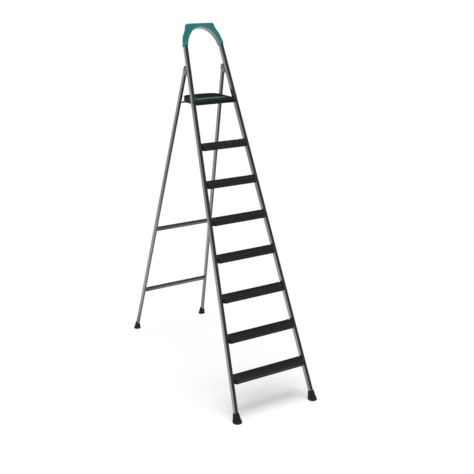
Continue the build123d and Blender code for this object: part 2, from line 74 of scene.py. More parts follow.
tread_count = 7
first_tread_top = 0.2460
lower_tread_pitch = 0.2208
upper_tread_pitch = 0.2071
top_tread_pitch = 0.2129
tread_nose = 0.0455
tread_back = 0.0275
tread_front_height = 0.0345
tread_rear_height = 0.032
tread_rake = 0.004
tread_shell = 0.003
nose_radius = 0.012
tread_rear_round = 0.0025
tread_lower_round = 0.002
groove_width = 0.0024
tread_groove_count = 8
tread_groove_pitch = 0.0072
tread_groove_depth = 0.0012
tread_groove_ahead = 0.0315  # from the tread's middle to its foremost groove
tread_groove_stop = 0.009  # from a cap to the end of the grooves
cap_length = 0.022
cap_rise = 0.0002
cap_proud = 0.0002
cap_corner = 0.016
cap_round = 0.0009
bar_drop = 0.0105
bar_slot_half_depth = 0.0132
bar_slot_half_height = 0.0077

grip_inner = -0.010  # these three are measured outwards from the middle of the hoop's tube
grip_channel = 0.01015
grip_outer = 0.012
grip_half_depth = 0.0195
grip_channel_half_depth = 0.01615
grip_crest_half_depth = 0.0135
grip_crest_corner = 0.008
grip_crest_round = 0.0045
grip_rise = 0.0046  # of the flat crest over the top of the hoop
grip_top = crown_slope + crown_radius + stile_width / 2 + grip_rise
grip_end_heading = radians(9.2)

platform_top = 1.7815
platform_front_skirt = 0.023
platform_rear_skirt = 0.0285
platform_level_from = 0.120
platform_rim = 0.0055
platform_rim_width = 0.007
platform_rim_from = 0.020
platform_pin_y = 0.005682
platform_half_width = 0.133406
platform_front = -0.027
platform_back = 0.223617
platform_bow = 0.012
platform_rear_bevel = 0.047  # how far from each rear corner its rounding starts
platform_rear_draw = 0.76  # how much shorter an inset makes that, as a share of the inset
platform_front_bevel = 0.008
platform_front_draw = 0.3
platform_flat_front = 0.0095  # depth of the strip along the front that has no rim
platform_rim_round = 0.0022
platform_wall = 0.003
platform_plate = 0.005
plate_bite = 0.0005  # how far the blocks and ribs run up into the plate
pivot_block_inset = 0.0015  # from the deck's outline to the end of a block, inside the wall
pivot_block_length = 0.0165
pivot_block_half_depth = 0.009
pivot_block_round = 0.003
rest_rod_y = 0.199299
rest_rib_x = 0.070
rest_rib_half_width = 0.004
rest_rib_half_depth = 0.021
rest_rib_round = 0.002
mat_margin = 0.0142
mat_recess = 0.002
mat_bed = 0.0019  # depth of the mat below the deck
mat_proud = 0.0006
mat_groove_count = 30
mat_groove_pitch = 0.0068
mat_groove_depth = 0.0009
mat_first_groove = 0.006  # from the mat's front edge
mat_plain_from = 0.046  # these three are measured backwards from the pins
mat_plain_to = 0.100
mat_groove_end = 0.205

boot_socket_depth = 0.030
boot_socket_lip = 0.0005
boot_socket_play = 0.0001
front_boot_height = 0.056  # up the stile's slope, as the rear one is up the leg's
front_boot_wall = 0.0035
front_sole_half_width = 0.0295
front_sole_corner = 0.028
front_sole_shift = 0.002  # backwards from the stile's foot, as the rear one is from the leg's
rear_boot_height = 0.048
rear_boot_wall = 0.005
rear_sole_half_width = 0.025
rear_sole_corner = 0.024
rear_sole_shift = -0.0005
sole_x = 0.2696

photo_width = 474  # in pixels, as is the camera's focal length
focal_length = 797.8
camera_place = (-2.3176, front_foot_y - 3.5672, 2.5660)
camera_dip = 0.3294
camera_turn = 0.5204


# Modelling by hand, one step at a time
def start(name, primitive, **sizes):
    """A new primitive, alone in the selection, at its size and place and open in edit mode."""
    bpy.ops.object.select_all(action="DESELECT")
    primitive(**sizes)
    piece = bpy.context.object
    piece.name = name
    piece.data.name = name
    bpy.ops.object.transform_apply(location=True, rotation=True, scale=True)
    bpy.ops.object.mode_set(mode="EDIT")
    return piece


def start_block(name, low, high):
    """A block between two corners, open in edit mode."""
    middle = [(a + b) / 2 for a, b in zip(low, high)]
    size = [b - a for a, b in zip(low, high)]
    return start(name, bpy.ops.mesh.primitive_cube_add, size=1, location=middle, scale=size)


def pick(kind, test):
    """Selects only the vertices, edges or faces that pass a test."""
    bpy.ops.mesh.select_mode(type=kind)
    bpy.ops.mesh.select_all(action="DESELECT")
    mesh = bmesh.from_edit_mesh(bpy.context.object.data)
    group = {"VERT": mesh.verts, "EDGE": mesh.edges, "FACE": mesh.faces}[kind]
    for item in group:
        if test(item):
            item.select_set(True)
    mesh.select_flush_mode()
    bmesh.update_edit_mesh(bpy.context.object.data)


def pick_edges(test):
    """Selects the edges whose two ends both pass a test on their place."""
    pick("EDGE", lambda edge: all(test(vertex.co) for vertex in edge.verts))


def pick_faces(test):
    """Selects the faces that pass a test on their middle and their normal."""
    pick("FACE", lambda face: test(face.calc_center_median(), face.normal))


def move(step):
    bpy.ops.transform.translate(value=step)


def extrude(step):
    bpy.ops.mesh.extrude_region_move(TRANSFORM_OT_translate={"value": step})


def round_edges(radius, steps, profile=0.5):
    """Rounds what is selected. A lower profile comes nearer to a flat chamfer."""
    bpy.ops.mesh.bevel(offset=radius, segments=steps, profile=profile, affect="EDGES")


def flatten(height):
    """Brings what is selected to one height."""
    bpy.ops.transform.resize(value=(1, 1, 0), center_override=(0, 0, height))


def cut(place, normal, trim=False):
    """Cuts the whole mesh on a plane. A trim drops what lies behind the plane and closes it."""
    bpy.ops.mesh.select_all(action="SELECT")
    bpy.ops.mesh.bisect(plane_co=place, plane_no=normal, use_fill=trim, clear_inner=trim)


def close(piece, smooth=40):
    """Leaves edit mode with the faces outwards and the curved ones smooth."""
    bpy.ops.mesh.select_mode(type="VERT")
    bpy.ops.mesh.select_all(action="SELECT")
    bpy.ops.mesh.remove_doubles(threshold=weld)
    bpy.ops.mesh.normals_make_consistent(inside=False)
    bpy.ops.mesh.select_all(action="DESELECT")
    bpy.ops.object.mode_set(mode="OBJECT")
    bpy.ops.object.shade_smooth_by_angle(angle=radians(smooth))
    return piece


def apply(piece, kind, **settings):
    """Adds a modifier to the piece and applies it."""
    modifier = piece.modifiers.new("step", kind)
    for name, value in settings.items():
        setattr(modifier, name, value)
    bpy.ops.object.select_all(action="DESELECT")
    piece.select_set(True)
    bpy.context.view_layer.objects.active = piece
    bpy.ops.object.modifier_apply(modifier=modifier.name)


def soften(piece, radius, steps=2):
    """Rounds the edges that are still sharp."""
    apply(
        piece,
        "BEVEL",
        width=radius,
        segments=steps,
        limit_method="ANGLE",
        angle_limit=radians(38),
    )
    bpy.ops.object.shade_smooth_by_angle(angle=radians(38))


def join(name, pieces):
    """Joins finished pieces under one name."""
    bpy.ops.object.select_all(action="DESELECT")
    for piece in pieces:
        piece.select_set(True)
    bpy.context.view_layer.objects.active = pieces[0]
    if len(pieces) > 1:
        bpy.ops.object.join()
    whole = bpy.context.object
    whole.name = name
    whole.data.name = name
    return whole


def copy_of(piece, step):
    """A copy with its own mesh, moved by a step."""
    bpy.ops.object.select_all(action="DESELECT")
    piece.select_set(True)
    bpy.context.view_layer.objects.active = piece
    bpy.ops.object.duplicate(linked=False)
    twin = bpy.context.object
    bpy.ops.transform.translate(value=step)
    bpy.ops.object.transform_apply(location=True, rotation=True, scale=True)
    return twin


def put_on(piece, turn):
    """Turns and moves a piece that was shaped on the bench, and settles that in its mesh."""
    piece.matrix_world = turn
    bpy.ops.object.select_all(action="DESELECT")
    piece.select_set(True)
    bpy.context.view_layer.objects.active = piece
    bpy.ops.object.transform_apply(location=True, rotation=True, scale=True)


def settle(piece, body, slot, finishes, *stands_for):
    """Gives a piece its finishes, its body and the nodes that it stands for."""
    piece.data.materials.clear()
    for finish in finishes:
        piece.data.materials.append(finish)
    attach(piece, body)
    if stands_for:
        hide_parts(*stands_for)


def loft(name, rings):
    """A closed skin through rings of points, by extruding a disc from ring to ring."""
    piece = start(
        name,
        bpy.ops.mesh.primitive_circle_add,
        vertices=len(rings[0]),
        radius=1,
        fill_type="NGON",
    )
    mesh = bmesh.from_edit_mesh(piece.data)
    mesh.verts.ensure_lookup_table()
    for vertex, place in zip(mesh.verts, rings[0]):
        vertex.co = place
    bmesh.update_edit_mesh(piece.data)
    for last, ring in zip(rings, rings[1:]):
        bpy.ops.mesh.extrude_region_move()
        mesh = bmesh.from_edit_mesh(piece.data)
        for vertex in [v for v in mesh.verts if v.select]:
            nearest = min(range(len(last)), key=lambda i: (vertex.co - last[i]).length_squared)
            vertex.co = ring[nearest]
        bmesh.update_edit_mesh(piece.data)
    return piece


def rounded_ring(place, across, back, half_width, half_depth, corner, steps=8):
    """Points round a rounded rectangle on a plane."""
    points = []
    for quarter, (right, rear) in enumerate(((1, 1), (-1, 1), (-1, -1), (1, -1))):
        for step in range(steps):
            turn = (quarter + step / (steps - 1)) * pi / 2
            x = right * (half_width - corner) + corner * cos(turn)
            y = rear * (half_depth - corner) + corner * sin(turn)
            points.append(place + across * x + back * y)
    return points


# Finishes
class Wire:
    """One output of a node. Arithmetic on it adds Math nodes."""

    def __init__(self, sheet, socket):
        self.sheet = sheet
        self.socket = socket

    def sum(self, operation, first, second):
        return self.sheet.add("ShaderNodeMath", {"operation": operation}, {0: first, 1: second})

    def __add__(self, other):
        return self.sum("ADD", self, other)

    def __radd__(self, other):
        return self.sum("ADD", other, self)

    def __sub__(self, other):
        return self.sum("SUBTRACT", self, other)

    def __rsub__(self, other):
        return self.sum("SUBTRACT", other, self)

    def __mul__(self, other):
        return self.sum("MULTIPLY", self, other)

    def __rmul__(self, other):
        return self.sum("MULTIPLY", other, self)


class Sheet:
    """A node tree that a finish is written on."""

    def __init__(self, tree):
        self.tree = tree
        self.known_place = None

    def add(self, kind, settings=None, sockets=None, output=0):
        """Adds a node with its settings and then its sockets' values or links."""
        node = self.tree.nodes.new(kind)
        for name, value in (settings or {}).items():
            setattr(node, name, value)
        for key, value in (sockets or {}).items():
            self.put(node.inputs[key], value)
        return Wire(self, node.outputs[output]) if node.outputs else None

    def put(self, socket, value):
        if isinstance(value, Wire):
            self.tree.links.new(value.socket, socket)
        else:
            socket.default_value = value

    def place(self):
        if self.known_place is None:
            self.known_place = self.add("ShaderNodeTexCoord", output="Object")
        return self.known_place

    def axis(self, name):
        return self.add("ShaderNodeSeparateXYZ", None, {0: self.place()}, name)

    def facing(self, name):
        """How far the surface faces along an axis."""
        normal = self.add("ShaderNodeNewGeometry", output="Normal")
        return self.add("ShaderNodeSeparateXYZ", None, {0: normal}, name)

    def noise(self, scale, detail=2.0, stretch=(1, 1, 1)):
        place = self.add(
            "ShaderNodeMapping",
            {"vector_type": "POINT"},
            {"Vector": self.place(), "Scale": stretch},
        )
        return self.add(
            "ShaderNodeTexNoise", None, {"Vector": place, "Scale": scale, "Detail": detail}
        )

    def pebbles(self, scale):
        """Distance to the nearest of scattered points, for a moulded grain."""
        return self.add("ShaderNodeTexVoronoi", None, {"Vector": self.place(), "Scale": scale})

    def between(self, value, low, high, start=0.0, end=1.0):
        """The value's way from low to high, held between start and end."""
        return self.add(
            "ShaderNodeMapRange",
            {"interpolation_type": "SMOOTHSTEP"},
            {"Value": value, "From Min": low, "From Max": high, "To Min": start, "To Max": end},
        )

    def blend(self, mask, first, second):
        """One colour where the mask is 0 and another where it is 1."""
        colours = [c if isinstance(c, Wire) else (*c, 1.0) for c in (first, second)]
        return self.add(
            "ShaderNodeMix",
            {"data_type": "RGBA"},
            {0: mask, 6: colours[0], 7: colours[1]},
            output=2,
        )

    def bump(self, height, depth, strength=1.0):
        return self.add(
            "ShaderNodeBump", None, {"Height": height, "Distance": depth, "Strength": strength}
        )


def finish_of(name, sockets, write):
    """A material on the standard shader: its plain values, then what varies over the surface."""
    material = bpy.data.materials.new(name)
    material.use_nodes = True
    sheet = Sheet(material.node_tree)
    shader = material.node_tree.nodes["Principled BSDF"].inputs
    for key, value in sockets.items():
        shader[key].default_value = value
    for key, value in write(sheet).items():
        sheet.put(shader[key], value)
    return material


def shade(colour, level):
    return tuple(part * level for part in colour)


def tube_paint(name, colour, roughness, metallic):
    """Satin paint with metal flake over drawn tube: mottled, a little scuffed, orange-peel skin."""

    def write(sheet):
        mottle = sheet.noise(26, 3)
        drawn = sheet.noise(60, 2, (1, 1, 0.06))
        scuff = sheet.between(sheet.noise(90, 4, (1, 1, 0.35)), 0.62, 0.74)
        peel = sheet.noise(1100, 1)
        tone = sheet.blend(mottle, shade(colour, 0.92), shade(colour, 1.07))
        worn = sheet.blend(scuff * 0.35, tone, shade(colour, 1.35))
        return {
            "Base Color": worn,
            "Roughness": roughness + 0.10 * (drawn - 0.5) + 0.10 * scuff,
            "Normal": sheet.bump(peel, 0.00004, 0.6),
        }

    return finish_of(name, {"Metallic": metallic}, write)


def moulded_plastic(name, colour, roughness, grain, specular=0.5):
    """Moulded plastic: a fine grain, faint flow marks and a dusty film on what faces up."""

    def write(sheet):
        flow = sheet.noise(14, 3)
        upward = sheet.between(sheet.facing("Z"), 0.3, 0.95)
        film = upward * sheet.between(sheet.noise(55, 4), 0.45, 0.7)
        tone = sheet.blend(flow, shade(colour, 0.88), shade(colour, 1.12))
        dusty = sheet.blend(film * 0.10, tone, (0.30, 0.30, 0.29))
        pits = sheet.pebbles(grain)
        return {
            "Base Color": dusty,
            "Roughness": roughness + 0.08 * (flow - 0.5) + 0.05 * film,
            "Normal": sheet.bump(pits, 0.00012, 0.5),
        }

    return finish_of(name, {"Specular IOR Level": specular}, write)


def tread_plastic():
    """Black moulded plastic; a painted highlight pales the front, most of all below the nose."""

    def write(sheet):
        colour = (0.0135, 0.014, 0.0145)
        ahead = sheet.axis("Y") - sheet.axis("Z") * tan(lean) - front_foot_y
        # Painted highlight: the front faces, most of all just below the nose, are painted paler in
        # patches and made smoother.
        front = sheet.between(sheet.facing("Y"), -0.60, -0.97)
        foremost = sheet.between(ahead, -0.030, -0.035, 0.6, 1.0)
        below_nose = sheet.between(ahead, -0.0410, -0.0380) * foremost
        patches = sheet.between(sheet.noise(38, 4, (0.5, 1, 1)), 0.30, 0.66, 0.7, 1.2)
        painted_highlight = front * below_nose * patches
        flow = sheet.noise(16, 3)
        tone = sheet.blend(flow, shade(colour, 0.85), shade(colour, 1.15))
        upward = sheet.between(sheet.facing("Z"), 0.5, 0.95)
        dust = sheet.between(sheet.noise(70, 4), 0.5, 0.75) * upward
        dusty = sheet.blend(dust * 0.04, tone, (0.28, 0.27, 0.26))
        pits = sheet.pebbles(1500)
        return {
            "Base Color": sheet.blend(painted_highlight * 0.11, dusty, (0.13, 0.13, 0.13)),
            "Roughness": 0.62 + 0.08 * (flow - 0.5) - 0.08 * painted_highlight,
            "Normal": sheet.bump(pits, 0.00012, 0.5),
        }

    return finish_of("tread_plastic_black", {"Specular IOR Level": 0.3}, write)


def mat_plastic():
    """Dark teal inlay with a smoother band across it, painted paler as a highlight."""

    def write(sheet):
        colour = (0.006, 0.021, 0.0185)
        behind = sheet.axis("Y") - platform_pin_y
        # Painted highlight: a band across the mat is painted paler; it is also smoother.
        band = sheet.between(behind, 0.024, 0.050) * sheet.between(behind, 0.094, 0.068)
        flow = sheet.noise(18, 3)
        tone = sheet.blend(flow, shade(colour, 0.85), shade(colour, 1.15))
        pits = sheet.pebbles(1500)
        return {
            "Base Color": sheet.blend(band * 0.8, tone, (0.125, 0.185, 0.175)),
            "Roughness": 0.55 - 0.22 * band + 0.06 * (flow - 0.5),
            "Normal": sheet.bump(pits, 0.0001, 0.35),
        }

    return finish_of("mat_plastic_teal", {"Specular IOR Level": 0.25}, write)


def foot_rubber():
    """Matt black rubber, greyed by dust towards the floor."""

    def write(sheet):
        colour = (0.012, 0.012, 0.0125)
        low = sheet.between(sheet.axis("Z"), 0.020, 0.0)
        dust = low * sheet.between(sheet.noise(120, 4), 0.35, 0.7)
        flow = sheet.noise(40, 3)
        tone = sheet.blend(flow, shade(colour, 0.85), shade(colour, 1.2))
        return {
            "Base Color": sheet.blend(dust * 0.10, tone, (0.25, 0.24, 0.22)),
            "Roughness": 0.72 + 0.12 * (flow - 0.5),
            "Normal": sheet.bump(sheet.noise(1300, 2), 0.0001, 0.5),
        }

    return finish_of("foot_rubber_black", {"Specular IOR Level": 0.4}, write)


def plated_steel():
    """Zinc-plated steel with fine turning marks and a faint cloudy bloom."""

    def write(sheet):
        bloom = sheet.noise(160, 3)
        return {
            "Base Color": sheet.blend(bloom, (0.48, 0.48, 0.49), (0.66, 0.66, 0.65)),
            "Roughness": 0.26 + 0.16 * bloom,
            "Normal": sheet.bump(sheet.noise(2600, 1), 0.00002, 0.5),
        }

    return finish_of("rivet_steel_zinc", {"Metallic": 1.0}, write)


finishes = {
    "frame_paint": tube_paint("frame_paint_grey", (0.31, 0.31, 0.315), 0.20, 1.0),
    "bar_paint": tube_paint("bar_paint_grey", (0.20, 0.20, 0.205), 0.36, 0.9),
    "bracket_paint": tube_paint("bracket_paint_grey", (0.27, 0.27, 0.275), 0.34, 0.9),
    "rivet_steel": plated_steel(),
    "tread_plastic": tread_plastic(),
    "platform_plastic": moulded_plastic(
        "platform_plastic_black", (0.010, 0.0115, 0.0115), 0.58, 1500, 0.4
    ),
    "mat_plastic": mat_plastic(),
    "grip_plastic": moulded_plastic("grip_plastic_teal", (0.012, 0.215, 0.175), 0.50, 1700, 0.3),
    "cap_plastic": moulded_plastic("cap_plastic_black", (0.014, 0.014, 0.015), 0.55, 1700),
    "bush_plastic": moulded_plastic("bush_plastic_natural", (0.72, 0.71, 0.67), 0.45, 1900),
    "foot_rubber": foot_rubber(),
}
grip_band_plastic = moulded_plastic(
    "grip_band_plastic_teal", (0.020, 0.210, 0.205), 0.42, 1700, 0.35
)

for row in frame["record"]["subparts"]:
    node = nodes[row["node"]]
    node.data.materials.clear()
    node.data.materials.append(finishes[row["material_slot"]])


# Treads: a grooved cover with a rounded nose, hollow from below
def beside_stile(side, gap):
    """A place a gap in from a stile's inner face, and the direction to the ladder's middle."""
    inward = Vector((-side * cos(taper), -sin(taper) * sin(lean), -sin(taper) * cos(lean)))
    foot = Vector((side * stile_half_width, front_foot_y, 0))
    return foot + inward * (stile_width / 2 + gap), inward


def tread_top(number):
    """The height of a tread's top: the lower gaps are a little wider than the upper ones."""
    lower_steps = min(number - 1, tread_count // 2)
    top_steps = max(number + 1 - tread_count, 0)
    upper_steps = number - 1 - lower_steps - top_steps
    height = first_tread_top + lower_steps * lower_tread_pitch
    return height + upper_steps * upper_tread_pitch + top_steps * top_tread_pitch


def shape_tread_block(top, middle):
    """Slopes the underside of a tread's block and leans its front back."""
    underside = top - tread_front_height / 2
    pick("VERT", lambda v: v.co.z < underside and v.co.y > middle)
    move((0, 0, tread_front_height - tread_rear_height))
    pick("VERT", lambda v: v.co.z < underside and v.co.y < middle)
    move((0, tread_rake, 0))


def make_tread(number):
    top = tread_top(number)
    middle = front_foot_y + top * tan(lean)
    front = middle - tread_nose
    back = middle + tread_back
    rough_half = 0.3
    tread = start_block(
        f"tread_{number}_cover",
        (-rough_half, front, top - tread_front_height),
        (rough_half, back, top),
    )
    shape_tread_block(top, middle)
    for _, side in sides:
        cut(*beside_stile(side, cap_length), trim=True)
    pick_edges(lambda co: co.z > top - hair and co.y < front + hair)
    round_edges(nose_radius, 8)
    pick_edges(lambda co: co.z > top - hair and co.y > back - hair)
    round_edges(tread_rear_round, 3)
    pick_edges(lambda co: co.z < top - tread_front_height + hair)
    round_edges(tread_lower_round, 2)
    first_groove = middle - tread_groove_ahead
    grooves = [first_groove + tread_groove_pitch * step for step in range(tread_groove_count)]
    for groove in grooves:
        cut((0, groove, 0), (0, 1, 0))
        cut((0, groove + groove_width, 0), (0, 1, 0))
    ends = [beside_stile(side, cap_length + tread_groove_stop) for _, side in sides]
    for place, inward in ends:
        cut(place, inward)

    def in_groove(centre, normal):
        if normal.z < 0.99 or centre.z < top - 2 * hair:
            return False
        inside = all((centre - place).dot(inward) > 0 for place, inward in ends)
        return inside and any(groove < centre.y < groove + groove_width for groove in grooves)

    pick_faces(in_groove)
    extrude((0, 0, -tread_groove_depth))
    pick_faces(lambda c, n: n.z < -0.97 and c.z < top - tread_front_height / 2)
    bpy.ops.mesh.inset(thickness=tread_shell)
    extrude((0, 0, tread_shell))
    flatten(top - tread_shell)
    close(tread)
    settle(
        tread, "front_frame", "tread_plastic", [finishes["tread_plastic"]], f"tread_{number}"
    )


for number in range(1, tread_count + 1):
    make_tread(number)


# Tread caps: one block is shaped for each side and copied up the stile
def make_caps(side_name, side):
    top = first_tread_top
    middle = front_foot_y + top * tan(lean)
    front = middle - tread_nose - cap_proud
    back = middle + tread_back + cap_proud
    rough_x = side * 0.236
    rough_half = 0.04
    cap = start_block(
        "cap",
        (rough_x - rough_half, front, top - tread_front_height),
        (rough_x + rough_half, back, top + cap_rise),
    )
    shape_tread_block(top, middle)
    place, inward = beside_stile(side, 0)
    cut(place, inward, trim=True)
    inner_place, inward = beside_stile(side, cap_length)
    cut(inner_place, -inward, trim=True)

    def beside(co):
        return abs((co - place).dot(inward)) < hair

    pick_edges(lambda co: co.y < front + tread_rake + 10 * hair and beside(co))
    round_edges(cap_corner, 6, 0.33)
    pick_edges(lambda co: co.z > top + cap_rise - hair and co.y < front + cap_corner + hair)
    round_edges(nose_radius, 8)
    close(cap)
    slot_half = 0.1
    slot_front = middle - bar_drop * tan(lean) - bar_slot_half_depth
    slot_low = top - bar_drop - bar_slot_half_height
    cutter = start_block(
        "cutter",
        (rough_x - slot_half, slot_front, slot_low),
        (
            rough_x + slot_half,
            slot_front + 2 * bar_slot_half_depth,
            slot_low + 2 * bar_slot_half_height,
        ),
    )
    close(cutter)
    apply(cap, "BOOLEAN", object=cutter, operation="DIFFERENCE", solver="EXACT")
    bpy.data.objects.remove(cutter)
    soften(cap, cap_round)
    up_stile = Vector((-side * tan(taper) / cos(lean), tan(lean), 1))
    caps = [cap]
    for number in range(2, tread_count + 1):
        caps.append(copy_of(cap, up_stile * (tread_top(number) - top)))
    whole = join(f"{side_name}_tread_end_blocks", caps)
    settle(
        whole,
        "front_frame",
        "tread_plastic",
        [finishes["tread_plastic"]],
        f"{side_name}_tread_caps",
    )


for side_name, side in sides:
    make_caps(side_name, side)


# Hand grip: a band is spun along the hoop and a crest drawn out of its outer side. It is shaped
# upright, with Z up the slope, and then leaned back.
grip_outline = (  # slope heights, and half the width at each
    (2.2700, 0.1329),
    (2.2786, 0.1333),
    (2.2880, 0.1333),
    (2.3000, 0.1325),
    (2.3160, 0.1303),
    (2.3360, 0.1255),
    (2.3600, 0.1127),
    (2.3765, 0.1039),
    (2.3860, 0.1000),
    (2.4137, 0.0930),
)


def grip_half_width(slope):
    """Half the width of the grip's outline at a slope height."""
    for (low, first), (high, second) in zip(grip_outline, grip_outline[1:]):
        if slope <= high:
            return first + (second - first) * (slope - low) / (high - low)
    return grip_outline[-1][1]


def inside_grip(x, slope):
    """Whether a place lies inside the grip's outline, with its rounded upper corners."""
    corner = grip_crest_corner
    fall = max(0.0, slope - (grip_top - corner))
    if fall >= corner:
        return False
    return abs(x) < grip_half_width(slope) - corner + sqrt(corner * corner - fall * fall)


def hoop_ray(x, slope):
    """How far outside the hoop's arc a place lies, and the way outwards there."""
    if slope - crown_slope >= abs(x) * tan(crown_heading):
        middle, radius = (0.0, crown_slope), crown_radius
    else:
        middle = (shoulder_x if x > 0 else -shoulder_x, shoulder_slope)
        radius = shoulder_radius
    away = (x - middle[0], slope - middle[1])
    length = hypot(*away)
    return length - radius, (away[0] / length, away[1] / length)


def make_hand_grip():
    grip = start(
        "hand_grip_shell", bpy.ops.mesh.primitive_grid_add, x_subdivisions=2, y_subdivisions=5
    )
    across = (grip_inner, grip_channel, grip_outer)
    half_depths = (grip_crest_half_depth, grip_channel_half_depth, grip_half_depth)
    deep = (*(-depth for depth in reversed(half_depths)), *half_depths)
    mesh = bmesh.from_edit_mesh(grip.data)
    for vertex in mesh.verts:
        radius = shoulder_radius + across[round(vertex.co.x + 1)]
        y = deep[round((vertex.co.y + 1) * 2.5)]
        x = shoulder_x + radius * cos(grip_end_heading)
        slope = shoulder_slope + radius * sin(grip_end_heading)
        vertex.co = (x, y, slope)
    bmesh.update_edit_mesh(grip.data)

    def in_channel(centre, normal):
        offset = hoop_ray(centre.x, centre.z)[0]
        return offset < grip_channel and abs(centre.y) < grip_channel_half_depth

    pick_faces(in_channel)
    bpy.ops.mesh.delete(type="FACE")
    bpy.ops.mesh.select_all(action="SELECT")
    shoulder_turn = crown_heading - grip_end_heading
    for x, slope, turn, steps in (
        (shoulder_x, shoulder_slope, shoulder_turn, 16),
        (0.0, crown_slope, pi - 2 * crown_heading, 40),
        (-shoulder_x, shoulder_slope, shoulder_turn, 16),
    ):
        bpy.ops.mesh.spin(
            steps=steps, angle=turn, center=(x, 0, slope), axis=(0, 1, 0), dupli=False
        )
    bpy.ops.mesh.select_all(action="SELECT")
    bpy.ops.mesh.remove_doubles(threshold=weld)
    bpy.ops.mesh.normals_make_consistent(inside=False)

    def on_back(centre, normal):
        offset, out = hoop_ray(centre.x, centre.z)
        outwards = normal.x * out[0] + normal.z * out[1]
        outermost = offset > (grip_channel + grip_outer) / 2 and outwards > 0.9
        return outermost and abs(centre.y) < 10 * hair

    pick_faces(on_back)
    bpy.ops.mesh.extrude_region_move()
    mesh = bmesh.from_edit_mesh(grip.data)
    for vertex in [v for v in mesh.verts if v.select]:
        out = hoop_ray(vertex.co.x, vertex.co.z)[1]
        near = 0.0004
        far = 0.12
        for _ in range(40):  # halves the span in which the outline lies
            reach = (near + far) / 2
            if inside_grip(vertex.co.x + out[0] * reach, vertex.co.z + out[1] * reach):
                near = reach
            else:
                far = reach
        vertex.co.x += out[0] * near
        vertex.co.z += out[1] * near
    bmesh.update_edit_mesh(grip.data)

    def on_rim(co):
        on_side = abs(abs(co.y) - grip_crest_half_depth) < hair
        return on_side and hoop_ray(co.x, co.z)[0] > grip_outer + 3 * hair

    def along_rim(edge):
        first, second = (vertex.co for vertex in edge.verts)
        return on_rim(first) and on_rim(second) and first.y * second.y > 0

    pick("EDGE", along_rim)
    round_edges(grip_crest_round, 4)
    close(grip)
    for face in grip.data.polygons:
        offset = hoop_ray(face.center.x, face.center.z)[0]
        face.material_index = 1 if offset < grip_outer + 2 * hair else 0
    put_on(grip, Matrix.Translation((0, front_foot_y, 0)) @ Matrix.Rotation(-lean, 4, "X"))
    return grip


# Changing the grip's materials clears the marks on its faces, so they are put back.
hand_grip = make_hand_grip()
marks = [face.material_index for face in hand_grip.data.polygons]
settle(
    hand_grip,
    "front_frame",
    "grip_plastic",
    [finishes["grip_plastic"], grip_band_plastic],
    "hand_grip",
)
for face, mark in zip(hand_grip.data.polygons, marks):
    face.material_index = mark


# Platform: a slab with drawn-in sides and a bowed back, shaped into a tray with a raised rim
# along its sides and back, and its inlay
def start_platform_slab(name, inset, low, high):
    """A slab with the platform's outline drawn in by an inset, open in edit mode."""
    front = platform_pin_y + platform_front + inset
    side_back = platform_pin_y + platform_back - platform_bow - inset
    rough_half = 0.2
    slab = start_block(name, (-rough_half, front, low), (rough_half, side_back, high))
    for side in (-1, 1):
        inward = Vector((-side * cos(taper), -sin(taper), 0))
        edge = Vector((side * platform_half_width, platform_pin_y, 0)) + inward * inset
        cut(edge, inward, trim=True)
    half = platform_half_width - (side_back - platform_pin_y) * tan(taper) - inset
    bow = platform_bow
    radius = (half * half + bow * bow) / (2 * bow)
    for share in (-0.54, -0.27, 0, 0.27, 0.54):
        cut((share * half, 0, 0), (1, 0, 0))
    mesh = bmesh.from_edit_mesh(slab.data)
    for vertex in mesh.verts:
        if vertex.co.y > side_back - hair:
            vertex.co.y += bow - radius + sqrt(radius * radius - vertex.co.x**2)
    bmesh.update_edit_mesh(slab.data)

    def upright(edge):
        return abs(edge.verts[0].co.z - edge.verts[1].co.z) > 5 * hair

    def at_rear_corner(edge):
        place = edge.verts[0].co
        return upright(edge) and abs(place.x) > half - 5 * hair and place.y > 0

    def at_front_corner(edge):
        place = edge.verts[0].co
        return upright(edge) and abs(place.x) > half and place.y < front + 5 * hair

    pick("EDGE", at_rear_corner)
    round_edges(platform_rear_bevel - inset * platform_rear_draw, 12)
    pick("EDGE", at_front_corner)
    round_edges(platform_front_bevel - inset * platform_front_draw, 5)
    return slab


